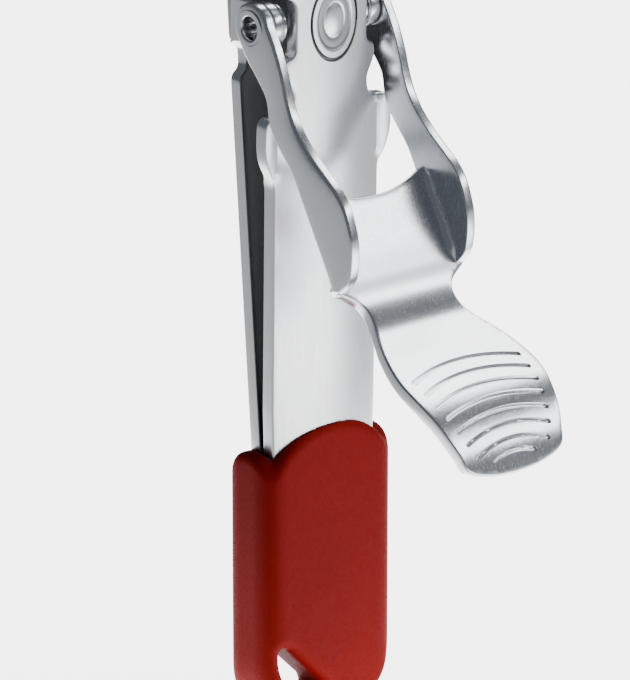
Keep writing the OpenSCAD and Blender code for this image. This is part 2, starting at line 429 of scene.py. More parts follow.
def steel(name, dark, light, rough_low, rough_high, grain):
    """Steel with fine lengthwise polishing marks and slight cloudiness."""
    material, tree, bsdf = shader(name, Metallic=1.0)
    marks = stretched_noise(tree, 9000, 14, 3)
    clouds = stretched_noise(tree, 240, 2)
    mixed_colour(tree, bsdf, clouds, dark, light)
    tree.links.new(ranged(tree, marks, rough_low, rough_high), bsdf.inputs["Roughness"])
    bumped(tree, bsdf, marks, grain, 0.00001)
    return material


def soft_touch(name):
    """Matt moulded plastic with a fine grain."""
    material, tree, bsdf = shader(name, Roughness=0.62)
    bsdf.inputs["Specular IOR Level"].default_value = 0.06
    grain = stretched_noise(tree, 5200, 1, 6)
    clouds = stretched_noise(tree, 160, 1.5)
    mixed_colour(tree, bsdf, clouds, (0.15, 0.0018, 0.0014), (0.19, 0.0028, 0.0022))
    tree.links.new(ranged(tree, grain, 0.5, 0.72), bsdf.inputs["Roughness"])
    bumped(tree, bsdf, grain, 0.35, 0.00004)
    return material


# Painted shade: very dark steel for the faces between the jaws, where shade falls; its higher roughness is a
# real duller finish
INNER_PAINTED_SHADE = steel("inner_steel_painted_shade", (0.12, 0.125, 0.13), (0.17, 0.175, 0.18), 0.38, 0.5, 0.12)
# Painted shade: near-black steel in the medallion's recessed line, standing in for the shade in the groove
LINE_PAINTED_SHADE = steel("line_steel_painted_shade", (0.09, 0.095, 0.1), (0.15, 0.155, 0.16), 0.4, 0.55, 0.15)
PEENED = steel("peened_steel", (0.24, 0.25, 0.26), (0.34, 0.35, 0.37), 0.34, 0.46, 0.3)
SATIN = steel("satin_steel", (0.66, 0.68, 0.70), (0.76, 0.77, 0.79), 0.27, 0.36, 0.10)
POLISHED = steel("polished_steel", (0.66, 0.68, 0.71), (0.74, 0.76, 0.79), 0.21, 0.28, 0.06)
RIVET = steel("rivet_steel", (0.62, 0.64, 0.67), (0.70, 0.72, 0.75), 0.16, 0.22, 0.05)
CAP = soft_touch("cap_plastic")


# ---- Jaw strips, in a jaw's own frame: x across, y depth with -y outward, h up from the bend ----

# Distance of the crown's centre from its chord, and of the outer faces' long edges from the middle plane
CROWN_C = math.sqrt(CROWN_R ** 2 - HALF_JAW ** 2)
EDGE_Y = STRIP_GAP / 2 + CROWN_C - math.sqrt((CROWN_R - STRIP_T) ** 2 - HALF_JAW ** 2)
# Ground bevel: its angle, the radius of the grinding wheel, and how low the edge dips in the middle
BEVEL_ANGLE = math.radians(36)
BEVEL_R = 30.0
BEVEL_DROP = 0.72
WING_Y = -EDGE_Y - 0.25
TAIL_H = TAIL_Z - BEND[2]
# Heights between which a jaw thickens into its cutting end
BLOCK_LOW, BLOCK_HIGH = AXLE_H + 2.3, AXLE_H + 2.75


def smooth(x, low, high):
    """0 up to low, rising softly to 1 at high."""
    t = np.clip((x - low) / (high - low), 0, 1)
    return t * t * (3 - 2 * t)


def crown(x, radius):
    """Depth of a crowned face across its strip."""
    return CROWN_C - EDGE_Y - np.sqrt(radius ** 2 - np.minimum(np.abs(x), HALF_JAW + 0.1) ** 2)


def head_back(h, tip_y):
    """Depth of the inner side of a jaw's end: the strip thickens towards the cutting edge."""
    profile = curve([[AXLE_H + 2.5, tip_y - 1.5], [TIP_H - 3.4, tip_y - 1.2], [TIP_H - 2.5, tip_y - 0.55],
                     [TIP_H - 1.4, tip_y - 0.1], [TIP_H - 0.5, tip_y], [TIP_H, tip_y]])
    return np.interp(h, profile[:, 0], profile[:, 1])


def bevel(x, h, tip_y):
    """Depth of the ground bevel in front of the cutting edge."""
    slope = math.tan(BEVEL_ANGLE)
    return tip_y + slope * (h - TIP_H + BEVEL_DROP) - x * x / (2 * BEVEL_R * math.cos(BEVEL_ANGLE))


def edge_height(x):
    """Height of the curved cutting edge."""
    return TIP_H - BEVEL_DROP + x * x / (2 * BEVEL_R * math.sin(BEVEL_ANGLE))


def bevel_top(x, tip_y):
    """Height at which the crowned face meets the bevel."""
    rise = crown(x, CROWN_R) - tip_y + x * x / (2 * BEVEL_R * math.cos(BEVEL_ANGLE))
    return TIP_H - BEVEL_DROP + rise / math.tan(BEVEL_ANGLE)


def wing_share(x, h):
    """1 on the flat wings beside the front jaw, 0 on the crowned strip."""
    across = smooth(np.abs(x), HALF_JAW - 0.35, HALF_JAW + 0.25)
    return across * smooth(h, AXLE_H - 11.9, AXLE_H - 10.9) * (1 - smooth(h, AXLE_H - 6, AXLE_H - 5.4))


def jaw_surfaces(tip_y, lean, relief, rear):
    """Functions from (x, h) to places on a jaw's outer and inner surface."""
    def placed(x, y, h):
        up = np.maximum(h, 0)
        depth = y * math.cos(lean) - up * math.sin(lean)
        height = y * math.sin(lean) * smooth(h, -0.6, 0.6) + up * math.cos(lean) + np.minimum(h, 0)
        return np.stack([x, BEND[1] + (-depth if rear else depth), BEND[2] + height], 1)

    def outer(p):
        x, h = p[:, 0], p[:, 1]
        w = wing_share(x, h) * (0 if rear else 1)
        y = crown(x, CROWN_R) * (1 - w) + WING_Y * w + relief(x, h)
        return placed(x, np.maximum(y, bevel(x, h, tip_y)), h)

    def inner(p):
        x, h = p[:, 0], p[:, 1]
        w = wing_share(x, h) * (0 if rear else 1)
        y = crown(x, CROWN_R - STRIP_T) * (1 - w) + (WING_Y + STRIP_T) * w
        block = smooth(h, BLOCK_LOW, BLOCK_HIGH)
        y = y * (1 - block) + head_back(h, tip_y) * block
        return placed(x, np.maximum(y, bevel(x, h, tip_y) + 0.02), h)

    return outer, inner


def cutting_edge():
    """Outline points along the cutting edge, from right to left."""
    xs = np.linspace(4.45, -4.45, 30)
    return np.stack([xs, edge_height(xs) - 0.02], 1)


def bevel_crease(tip_y):
    """Points along the crease between the crowned face and the bevel."""
    xs = np.linspace(-4.3, 4.3, 30)
    return np.stack([xs, bevel_top(xs, tip_y)], 1)


def head_corner():
    """Outline points of the right corner of a cutting end."""
    return [[HALF_JAW - 0.05, AXLE_H + 3], [HALF_JAW - 0.05, TIP_H - 1.2],
            [HALF_JAW - 0.1, TIP_H - 0.75], [HALF_JAW - 0.3, TIP_H - 0.3]]


def rows(low, high, step, half_width, across=0.4):
    """Rows of points that carry a change of depth with height."""
    hs, xs = np.arange(low, high, step), np.arange(-half_width, half_width + 0.01, across)
    return np.stack(np.meshgrid(xs, hs), -1).reshape(-1, 2)


# Medallion on the neck of the front jaw: an oval line round a recessed field with a raised lens.
# The field and the lens are given as shares of the line's size.
MEDAL_H = AXLE_H + 0.1
MEDAL_HALF_W, MEDAL_HALF_H = 2.15, 2.95
MEDAL_LINE = 0.16
MEDAL_FIELD, MEDAL_LENS = 0.74, 0.44
LINE_DEPTH, FIELD_DEPTH, LENS_RISE, RING_DEPTH = 0.16, 0.09, 0.13, 0.05


def medal_radius(x, h):
    """Distance from the medallion's centre in units of its outline."""
    return np.hypot(x / MEDAL_HALF_W, (h - MEDAL_H) / MEDAL_HALF_H)


def medal_relief(x, h):
    """Depth of the medallion below the jaw's face."""
    r = medal_radius(x, h)
    off_line = np.abs(r - 1) * MEDAL_HALF_W
    off_field = (r - MEDAL_FIELD) * MEDAL_HALF_W
    off_lens = (r - MEDAL_LENS) * MEDAL_HALF_W
    line = LINE_DEPTH * (1 - smooth(off_line, MEDAL_LINE * 0.3, MEDAL_LINE * 0.75))
    field = FIELD_DEPTH * (1 - smooth(off_field, -0.06, 0.06))
    lens = LENS_RISE * (1 - smooth(r * MEDAL_HALF_W, 0.1, MEDAL_LENS * MEDAL_HALF_W)) ** 0.7
    ring = RING_DEPTH * (1 - smooth(np.abs(off_lens), 0.05, 0.12))
    return line + field - lens * (r < MEDAL_LENS) + ring


def medal_finish(obj):
    """Painted shade as near-black steel in the medallion's engraved line, and a matt field on the
    medallion's faces.
    """
    used = obj.data.materials
    used.append(LINE_PAINTED_SHADE)
    used.append(PEENED)
    engraved, peened = len(used) - 2, len(used) - 1
    for face in obj.data.polygons:
        place = face.center / MM
        h = (place.z - BEND[2]) / math.cos(FRONT_LEAN)
        r = medal_radius(place.x, h)
        if face.normal.y < -0.3 and place.y < 0:
            if abs(r - 1) * MEDAL_HALF_W < MEDAL_LINE * 0.62:
                face.material_index = engraved
            elif MEDAL_LENS + 0.03 < r < MEDAL_FIELD + 0.02:
                face.material_index = peened


def medal_points():
    """Points round the medallion, close together where its depth changes."""
    radii = [0.09, 0.18, 0.27, 0.35, 0.40, 0.44, 0.48, 0.53, 0.60, 0.67, 0.70, 0.74, 0.78, 0.82, 0.87, 0.91,
             0.945, 0.975, 1.0, 1.025, 1.055, 1.09, 1.15]
    out = [[[0, MEDAL_H]]]
    for i, r in enumerate(radii):
        n = max(12, round(r * 2 * math.pi * 2.5 / 0.11))
        a = (np.arange(n) + 0.5 * (i % 2)) * 2 * math.pi / n
        xs = np.cos(a) * MEDAL_HALF_W * r
        hs = MEDAL_H + np.sin(a) * MEDAL_HALF_H * r
        out.append(np.stack([xs, hs], 1))
    return np.vstack(out)


def jaw(name, side, tip_y, lean, relief, rear, fine):
    """A jaw strip with its outline's right side given from the bottom up."""
    loop = np.vstack([side, head_corner(), cutting_edge(), mirrored(head_corner()), mirrored(side)])
    loop = softened(resampled(loop, OUTLINE_STEP), 3)
    outer, inner = jaw_surfaces(tip_y, lean, relief, rear)
    block_rows = rows(BLOCK_LOW - 0.1, BLOCK_HIGH + 0.15, 0.09, 4.8)
    head_rows = rows(AXLE_H + 3, TIP_H - 0.9, 0.22, 4.6)
    knife = smooth(loop[:, 1], TIP_H - 1.1, TIP_H - 0.6)
    edge = 0.16 * (1 - knife) + 0.012 * knife
    inner_rows = np.vstack([block_rows, head_rows])
    creases = ([bevel_crease(tip_y)], [])
    verts, faces = plate([loop], outer, inner, (edge, edge), 0.4, (fine, inner_rows), creases)
    return outward(new_object(name, verts, faces))


def front_jaw():
    """Front jaw with its two wings, its narrow neck and its medallion."""
    side = np.vstack([
        [[HALF_JAW - 0.1, 0.08], [HALF_JAW, 4]],
        curve([(x, h + AXLE_H) for x, h in (
            (HALF_JAW, -12), (5.3, -11.2), (5.85, -10.1), (6.1, -9), (6.1, -7.6), (6, -6.9), (5.6, -6.5),
            (5.05, -6.45), (4.4, -6.4), (3.8, -6.05), (3.55, -5.3), (3.6, -4.7), (4, -4.1), (4.35, -3.5),
            (4.4, -2.9), (4.2, -2.4), (3.7, -2.2))], 5),
        [[NECK_HW, AXLE_H - 1.9], [NECK_HW, AXLE_H + 1.7], [NECK_HW + 0.25, AXLE_H + 2.1],
         [HALF_JAW - 0.5, AXLE_H + 2.3], [HALF_JAW - 0.15, AXLE_H + 2.5]]])
    closed = FRONT_LEAN - CLOSE_ANGLE
    tip_y = EDGE_DEPTH * math.cos(closed) + TIP_H * math.sin(closed) - EDGE_GAP
    obj = jaw("front_jaw_strip", side, tip_y, FRONT_LEAN, medal_relief, False, medal_points())
    shade_painted_inside(finished(obj, SATIN, "front_jaw", "satin_steel", "front_jaw"), 1, -9)
    medal_finish(obj)


def ear(s):
    """Ear of the rear jaw that an eyelet turns in, bent forward beside the front jaw's neck."""
    y, z = AXLE[1:]
    root = y + 3.4
    low, high = z - EAR_R, z + EAR_R
    loop = np.vstack([
        arc((y, z), EAR_R, 90, 270, 40),
        curve([[y + 1.4, low], [root - 0.7, low - 0.05], [root, low - 0.3]]),
        curve([[root, high + 0.3], [root - 0.7, high + 0.05], [y + 1.4, high]])])
    hole = arc((y, z), EYELET_R + EYELET_PLAY, 360, 0, 64)[:-1]

    def face(x):
        return lambda p: np.column_stack([np.full(len(p), x), p])

    loops = [resampled(loop, 0.15), hole]
    verts, faces = plate(loops, face(s * EAR_OUT), face(s * EAR_IN), (0.22, 0.22), 0.35)
    return outward(new_object("ear", verts, faces))


def rear_jaw():
    """Rear jaw with a notch below each ear."""
    side = np.array([
        [HALF_JAW - 0.1, TAIL_H], [HALF_JAW - 0.1, 0], [HALF_JAW - 0.05, 1],
        [HALF_JAW - 0.05, AXLE_H - 4.35], [HALF_JAW - 0.2, AXLE_H - 4.08], [4.5, AXLE_H - 4],
        [4, AXLE_H - 3.7], [4, AXLE_H - 2.3], [4.3, AXLE_H - 2], [HALF_JAW - 0.1, AXLE_H - 1.6],
        [HALF_JAW - 0.1, AXLE_H + 1.6], [4.4, AXLE_H + 1.9], [HALF_JAW - 0.4, AXLE_H + 2.3],
        [HALF_JAW - 0.1, AXLE_H + 2.6]])
    tip_y = TIP_H * math.sin(REAR_LEAN) - EDGE_DEPTH * math.cos(REAR_LEAN)
    obj = jaw("rear_jaw_strip", side, tip_y, REAR_LEAN, lambda x, h: 0 * x, True, ())
    combined(obj, [ear(s) for s in (-1, 1)])
    shade_painted_inside(finished(obj, POLISHED, "root", "polished_steel", "rear_jaw"), -1, BEND[1] - 0.1)


# ---- Lever: u is the distance along it from the axle, v the distance forward of its arms' centre line ----

def lever_place(x, u, v):
    """Place in space of a point of the lever."""
    s, c = math.sin(LEVER_REST), math.cos(LEVER_REST)
    return np.stack([x + 0 * u, AXLE[1] - u * s - v * c, AXLE[2] - u * c + v * s], 1)


# Rear and front outline of an arm, as (u, v)
ARM_REAR = curve([[0.4, -1.8], [2, -1.66], [3.6, -1.3], [4.8, -1.1], [5.5, -1.2], [6.25, -1.49], [7, -1.7],
                  [8.2, -1.68], [9.6, -1.4], [11, -1.12], [13, -1.12], [16, -1.12], [18.5, -1.14],
                  [20.3, -1.22]], 6)
ARM_FRONT = curve([[20.3, -0.32], [19.9, 0.9], [19, 1.8], [17.5, 2.7], [16.2, 3.05], [14.8, 3.2],
                   [13.5, 2.95], [12.3, 2.45], [10.6, 1.7], [9.4, 1.3], [8.3, 1.05], [7.1, 1], [5.7, 1.2],
                   [4.2, 1.55], [2.4, 1.78], [0.6, 1.78]], 6)
# Front face of the sheet from the web to the tip, as (u, v)
SHEET = curve([[12.3, -0.1], [15, -0.1], [17.5, -0.1], [19.5, -0.2], [21.5, -0.3], [23.5, 0.15], [24.9, 0.9],
               [26.3, 1.85], [27.8, 2.85], [29.3, 3.85], [30.6, 4.5], [32, 4.95], [33.6, 5.15], [35, 5.1],
               [36.8, 4.7]], 8)
# Side of the waist and the thumb pad seen from the front, as (u, half width)
PLAN_SIDE = curve([[19.9, 6.2], [20.4, 5.9], [20.9, 5.1], [21.5, 4.35], [22.4, 4.1], [23.5, 4.3],
                   [24.9, 5.05], [26.3, 5.7], [27.7, 6.1], [28.8, 6.2], [30, 6.1], [31.4, 5.8], [33, 5.4],
                   [34.4, 4.95], [35.2, 4.75], [35.7, 4.3], [36.1, 3.3], [36.4, 1.8], [36.5, 0]], 6)
# Circle of the web's hollow top edge: its radius, and where its centre lies
WEB_EDGE_R, WEB_EDGE_U = 11.9, 2.0
BOSS_R = 1.85
ARM_CROWN = 0.2
# Thumb grooves: half width and depth of all, then where each crosses the middle, where it ends,
# and how far it reaches to each side
GROOVE_HW, GROOVE_DEPTH = 0.2, 0.22
GROOVES = [[27.35, 28.2, 5.1], [28.45, 29.3, 5.0], [29.57, 30.37, 4.85], [30.7, 31.45, 4.6],
           [31.8, 32.55, 4.3], [32.9, 33.65, 3.95], [34.0, 34.75, 3.45], [34.9, 35.3, 1.95]]


def arm_crown(u, v):
    """Depth by which an arm's outer face falls away towards its rims."""
    rear = np.interp(u, ARM_REAR[:, 0], ARM_REAR[:, 1])
    front = np.interp(u, ARM_FRONT[::-1, 0], ARM_FRONT[::-1, 1])
    across = (2 * v - rear - front) / np.maximum(front - rear, 1.5)
    return ARM_CROWN * np.minimum(across ** 2 + (np.minimum(u - 1, 0) / (BOSS_R + 1)) ** 2, 1.3)


def arm(s):
    """Side arm of the lever with its boss, and its hole for the eyelet."""
    boss = arc((0, 0), BOSS_R, 76, 284, 40)
    loop = np.vstack([boss, ARM_REAR[1:], ARM_FRONT[:-1]])
    loop = softened(resampled(loop, OUTLINE_STEP))
    hole = arc((0, 0), EYELET_R + EYELET_PLAY, 360, 0, 64)[:-1]
    rear_side = smooth(-loop[:, 1], 0.2, 0.9)
    web = smooth(loop[:, 0], 10.5, 13) * rear_side
    outer_edge = np.append(0.2 + 0.18 * rear_side + 0.5 * web, np.full(len(hole), 0.12))

    def outer(p):
        return lever_place(s * (LEVER_W / 2 - arm_crown(p[:, 0], p[:, 1])), p[:, 0], p[:, 1])

    def inner(p):
        return lever_place(s * (LEVER_W / 2 - SHEET_T), p[:, 0], p[:, 1])

    verts, faces = plate([loop, hole], outer, inner, (outer_edge, 0.1), 0.45, steps=6)
    return outward(new_object("arm", verts, faces))


def groove_circle(apex, end, half_width):
    """Centre and radius of the circle that a thumb groove follows."""
    rise = end - apex
    radius = (half_width ** 2 + rise ** 2) / (2 * rise)
    return apex + radius, radius


def groove_relief(x, u):
    """Depth of the thumb grooves."""
    depth = np.zeros(len(x))
    for apex, end, half_width in GROOVES:
        middle, radius = groove_circle(apex, end, half_width)
        off = np.abs(np.hypot(x, u - middle) - radius)
        tip = np.hypot(np.abs(x) - half_width, u - end)
        near = np.where(np.abs(x) < half_width, off, tip)
        depth = np.maximum(depth, GROOVE_DEPTH * (1 - smooth(near, 0.04, GROOVE_HW)))
    return depth


def groove_points():
    """Points along each groove and round its ends."""
    offsets = (0.07, 0.13, 0.19, 0.27)
    out = []
    for apex, end, half_width in GROOVES:
        middle, radius = groove_circle(apex, end, half_width)
        reach = math.asin(half_width / radius)
        n = round(2 * reach * radius / 0.13)
        a = np.linspace(-reach, reach, n)
        for off in (*(-r for r in offsets[::-1]), 0, *offsets):
            out.append(np.stack([np.sin(a), -np.cos(a)], 1) * (radius + off) + [0, middle])
        for s in (-1, 1):
            turn = np.radians(np.linspace(-80, 80, 9)) + s * math.pi / 2
            for r in offsets:
                spread = np.stack([np.sin(turn), np.cos(turn)], 1) * r
                out.append(spread + [s * half_width, end])
    return np.vstack(out)


def pad_and_web():
    """The lever's sheet between its arms, its waist and its thumb pad, as a plate over (x, u)."""
    direction = np.gradient(SHEET, axis=0)
    direction /= np.linalg.norm(direction, axis=1)[:, None]

    def surface(depth):
        def place(p):
            u, x = p[:, 1], p[:, 0]
            v = np.interp(u, SHEET[:, 0], SHEET[:, 1])
            du = np.interp(u, SHEET[:, 0], direction[:, 0])
            dv = np.interp(u, SHEET[:, 0], direction[:, 1])
            d = depth + (groove_relief(x, u) if depth == 0 else 0)
            return lever_place(x, u + d * dv, v - d * du)
        return place

    in_arm = LEVER_W / 2 - 0.45
    half_angle = math.degrees(math.asin(in_arm / WEB_EDGE_R))
    top = arc((0, WEB_EDGE_U), WEB_EDGE_R, 90 - half_angle, 90 + half_angle, 40)
    right = np.vstack([[[in_arm, 19.2]], PLAN_SIDE[:, ::-1]])
    left = mirrored(right)[1:]
    loop = resampled(np.vstack([right, left, top[::-1]]), OUTLINE_STEP)
    front_points = np.vstack([groove_points(), rows(19.3, 27, 0.25, 5.8, 0.45)])
    back_points = rows(19.3, 36, 0.3, 6, 0.5)
    fine = (front_points, back_points)
    verts, faces = plate([loop], surface(0), surface(SHEET_T), (0.16, 0.16), 0.35, fine)
    return outward(new_object("lever_sheet", verts, faces))


def inner_fillet(s):
    """Round inside corner between the web and an arm."""
    us = np.linspace(12.9, 20.2, 40)
    corner = LEVER_W / 2 - SHEET_T
    buried = 0.3
    a = np.radians(np.linspace(0, 90, 7))
    rings = []
    for u in us:
        r = 0.55 * float(smooth(u, 12.7, 13.6)) * float(1 - smooth(u, 19, 20.3)) + 0.05
        base = float(np.interp(u, SHEET[:, 0], SHEET[:, 1]))
        xs = np.append(corner - r + r * np.sin(a), [corner + buried, corner + buried, corner - r])
        vs = np.append(base + r - r * np.cos(a), [base + r, base - buried, base - buried])
        rings.append(lever_place(s * xs, np.full(len(xs), u), vs))
    n, last = len(rings[0]), (len(us) - 1) * len(rings[0])
    faces = ring_faces(len(us), n, False)
    faces += [tuple(range(n))[::-1], tuple(range(last, last + n))]
    return outward(new_object("fillet", np.vstack(rings), faces))


def lever():
    """Lever: two arms joined by the sheet, with round inside corners."""
    obj = pad_and_web()
    combined(obj, [arm(-1), arm(1)])
    combined(obj, [inner_fillet(-1), inner_fillet(1)])
    obj.name = "lever_body"
    finished(obj, POLISHED, "lever", "polished_steel", "lever")


# ---- Eyelets ----

def eyelet(s, node):
    """Hollow rivet with a flange inside the ear and a flare flush with the arm."""
    out, inside = LEVER_W / 2 - 0.05, box_mm("eyelet_right")[0][0]
    rim, flange_r, flange_t = 0.12, 1.55, 0.29
    profile = np.vstack([
        [[EYELET_HOLE_R, inside + rim]],
        arc((EYELET_HOLE_R + rim, inside + rim), rim, 180, 270, 4),
        arc((flange_r - rim, inside + rim), rim, 270, 360, 4),
        arc((flange_r - rim, inside + flange_t - rim), rim, 0, 90, 4),
        [[EYELET_R, inside + flange_t], [EYELET_R, out - 0.3]],
        curve([[EYELET_R, out - 0.3], [1.2, out - 0.18], [1.38, out - 0.02]], 3),
        curve([[1.34, out], [1.1, out - 0.005], [0.93, out - 0.05], [EYELET_HOLE_R, out - 0.22]], 4)])
    steps = 96
    a = np.arange(steps) * 2 * math.pi / steps
    verts = [np.stack([np.full(steps, s * d), AXLE[1] + r * np.cos(a), AXLE[2] + r * np.sin(a)], 1)
             for r, d in profile]
    faces = ring_faces(len(profile), steps, True)
    obj = outward(new_object(node + "_rivet", np.vstack(verts), faces))
    finished(obj, RIVET, "pivots", "rivet_steel", node)


# ---- End cap, as the zero surface of a distance function ----

# Radii of the cap's upright edges, of its ends seen from the front, and of its bottom seen from the side
CAP_EDGE_R, CAP_END_R, BOTTOM_R = 2.0, 5.9, 1.2
# Heights of the sides and of the round tongue on each face
CAP_H = CAP_TOP - 1.8
FRONT_TONGUE_H = CAP_TOP
REAR_TONGUE_H = CAP_TOP - 1.6
TONGUE_R, TONGUE_DEPTH = 7.0, 1.4
SIDE_TOP_R, RIM_R = 3.0, 0.8
# Gaps round the strips: in the pocket, and where the rear strip leans away above the bend
POCKET_GAP, LEAN_GAP = 0.08, 0.26
# Key-ring window: radius of its round corner, its right side, the slant's lower end, its top, its soft rim
WINDOW_R, WINDOW_RIGHT, WINDOW_CORNER, WINDOW_TOP = 4.2, 0.4, 2.0, 6.8
WINDOW_SOFT = 1.3
CAP_STEP = 0.16


def round_box(a, b, half_a, half_b, r):
    """Distance to a rounded rectangle."""
    p, q = np.abs(a) - half_a + r, np.abs(b) - half_b + r
    return np.hypot(np.maximum(p, 0), np.maximum(q, 0)) + np.minimum(np.maximum(p, q), 0) - r


def both(a, b, r):
    """Intersection with a round edge."""
    return np.minimum(np.maximum(a, b), -r) + np.hypot(np.maximum(a + r, 0), np.maximum(b + r, 0))


def either(a, b, r):
    """Union with a round inside corner."""
    return np.maximum(np.minimum(a, b), r) - np.hypot(np.maximum(r - a, 0), np.maximum(r - b, 0))


def window_distance(x, z):
    """Distance to the key-ring window."""
    corner = CAP_END_R - CAP_W / 2
    bottom_left = np.hypot(np.minimum(x - corner, 0), np.minimum(z - CAP_END_R, 0)) - WINDOW_R
    flat = np.maximum(x - WINDOW_RIGHT, CAP_END_R - WINDOW_R - z)
    slope = ((x - WINDOW_RIGHT) + (z - WINDOW_CORNER)) / math.sqrt(2)
    return both(both(np.maximum(bottom_left, flat), slope, 0.4), z - WINDOW_TOP + 0.25, 0.3)


def round_topped(a, z, height, radius):
    """Distance to an upright strip of the given radius with a half-round top."""
    return np.hypot(a, np.maximum(z - height + radius, 0)) - radius


def cap_outside(x, y, z):
    """Distance to the cap without its slots and its window."""
    half_t = CAP_T / 2
    side = round_box(y, z - CAP_TOP, half_t, CAP_TOP, BOTTOM_R)
    body = both(round_box(x, y, CAP_W / 2, half_t, CAP_EDGE_R), side, 0.3)
    face = round_box(x, z - CAP_TOP, CAP_W / 2, CAP_TOP, CAP_END_R)
    top = round_topped(y, z, CAP_H, SIDE_TOP_R)
    front = both(round_topped(x, z, FRONT_TONGUE_H, TONGUE_R), y + half_t - TONGUE_DEPTH, 0.15)
    rear = both(round_topped(x, z, REAR_TONGUE_H, TONGUE_R), half_t - TONGUE_DEPTH - y, 0.15)
    tops = either(either(top, front, 0.3), rear, 0.3)
    return both(both(body, face, 0.5), tops, RIM_R)


def slot_distance(x, y, z):
    """Distance to the pocket that the two crowned strips sit in."""
    depth = y - BEND[1]
    centre = CROWN_C - EDGE_Y
    slot_front = np.hypot(x, depth - centre) - CROWN_R
    slot_rear = np.hypot(x, depth + centre) - CROWN_R
    slot = np.maximum(slot_front - POCKET_GAP, np.abs(x) - HALF_JAW - POCKET_GAP)
    slot = np.maximum(slot, TAIL_Z - 0.1 - z)
    gap = POCKET_GAP + (LEAN_GAP - POCKET_GAP) * smooth(z, BEND[2] - 1, BEND[2])
    return np.maximum(slot, slot_rear - gap)


def cap_distance(x, y, z):
    """Distance to the cap's surface, below 0 inside it."""
    solid = both(cap_outside(x, y, z), -slot_distance(x, y, z), 0.12)
    return both(solid, -window_distance(x, z), WINDOW_SOFT)


def window_of(grid, start, shape):
    """Block of a grid that begins at start."""
    return grid[tuple(slice(c, c + k) for c, k in zip(start, shape))]


def cell_middles(d, shape):
    """Middle of the zero crossings on each cell's edges, in cells from its low corner."""
    total, crossings = np.zeros((*shape, 3)), np.zeros(shape)
    for axis in range(3):
        others = [k for k in range(3) if k != axis]
        for shift in np.ndindex(2, 2):
            start = [0, 0, 0]
            start[others[0]], start[others[1]] = shift
            end = list(start)
            end[axis] = 1
            a, b = window_of(d, start, shape), window_of(d, end, shape)
            hit = (a < 0) != (b < 0)
            t = np.where(hit, a / np.where(hit, a - b, 1), 0)
            for k in range(3):
                total[..., k] += np.where(hit, start[k] + (t if k == axis else 0), 0)
            crossings += hit
    return total / np.maximum(crossings, 1)[..., None]


def cell_faces(inside, ids, shape):
    """Quads between the four cells round each grid edge that crosses the surface."""
    faces = []
    for axis in range(3):
        one, two = [k for k in range(3) if k != axis]
        along = [slice(1, k) for k in shape]
        along[axis] = slice(0, shape[axis])
        ahead = list(along)
        ahead[axis] = slice(1, shape[axis] + 1)
        change = inside[tuple(along)] != inside[tuple(ahead)]
        at = np.argwhere(change)
        at[:, one] += 1
        at[:, two] += 1
        ring = []
        for a, b in ((1, 1), (0, 1), (0, 0), (1, 0)):
            cell = at.copy()
            cell[:, one] -= a
            cell[:, two] -= b
            ring.append(ids[tuple(cell.T)])
        quad = np.stack(ring, 1)
        turned = inside[tuple(along)][change] == (axis != 1)
        quad[~turned] = quad[~turned][:, ::-1]
        faces.append(quad)
    return np.vstack(faces)


def settled(distance, verts, reach):
    """Points moved onto the zero surface, by at most reach in each of a few rounds."""
    small = 0.01
    for _ in range(4):
        value = distance(*verts.T)
        slope = np.stack([distance(*(verts + small * e).T) - distance(*(verts - small * e).T)
                          for e in np.eye(3)], 1) / (2 * small)
        move = value[:, None] * slope / np.maximum((slope ** 2).sum(1), 0.3)[:, None]
        verts = verts - np.clip(move, -reach, reach)
    return verts


def surface_net(distance, low, high, step):
    """Closed quad mesh on the zero surface of a distance function."""
    axes = [np.arange(a - 2 * step, b + 2.5 * step, step) for a, b in zip(low, high)]
    d = distance(axes[0][:, None, None], axes[1][None, :, None], axes[2][None, None, :])
    inside = d < 0
    shape = [k - 1 for k in inside.shape]
    count = sum(window_of(inside, corner, shape).astype(int) for corner in np.ndindex(2, 2, 2))
    mixed = (count > 0) & (count < 8)
    ids = np.full(shape, -1)
    ids[mixed] = np.arange(mixed.sum())
    origin = np.array([a[0] for a in axes])
    verts = origin + step * (np.argwhere(mixed) + cell_middles(d, shape)[mixed])
    return settled(distance, verts, step / 2), cell_faces(inside, ids, shape)


def end_cap():
    """The one-piece moulded cap."""
    low, high = box_mm("end_cap")
    verts, faces = surface_net(cap_distance, low, high, CAP_STEP)
    obj = outward(new_object("cap_shell", verts, faces))
    finished(obj, CAP, "root", "cap_plastic", "end_cap", angle=60)


# ---- Hidden CAD nodes keep their shape and get a finish ----

def finish_hidden_nodes():
    """Gives the nodes inside the cap their materials."""
    for node, material in (("front_jaw_tail", SATIN), ("tail_rivets", RIVET)):
        mesh = frame["nodes"][node].data
        mesh.materials.clear()
        mesh.materials.append(material)


# ---- Floor, light and camera ----

# Camera: its bearing, the point it looks at and its distance, both in millimetres, and its lens
VIEW_AZIMUTH, VIEW_ELEVATION = math.radians(-41), math.radians(18.5)
CAMERA_AIM = Vector((0, -0.5, AXLE[2] - 24.9))
CAMERA_DISTANCE = 371.3
CAMERA_LENS = 264.7
# Floor in metres: its half size, the middle of the painted pool of light before the clipper and that pool's
# bright and outer radius, then the half width of the painted pool behind it, which widens with distance
FLOOR_HALF = 4.0
FLOOR_DROP = 0.0002
POOL_X, POOL_Y = 0.032, -0.112
POOL_BRIGHT, POOL_END = 0.045, 0.08
BACK_BRIGHT, BACK_END, BACK_WIDENING = 0.034, 0.064, 2.7
BACK_START, BACK_FULL = 0.04, -0.01
# Emission strength of the painted pools of light, and of the floor's even glow everywhere
POOL_LIGHT, FLOOR_LIGHT = 4.5, 0.21


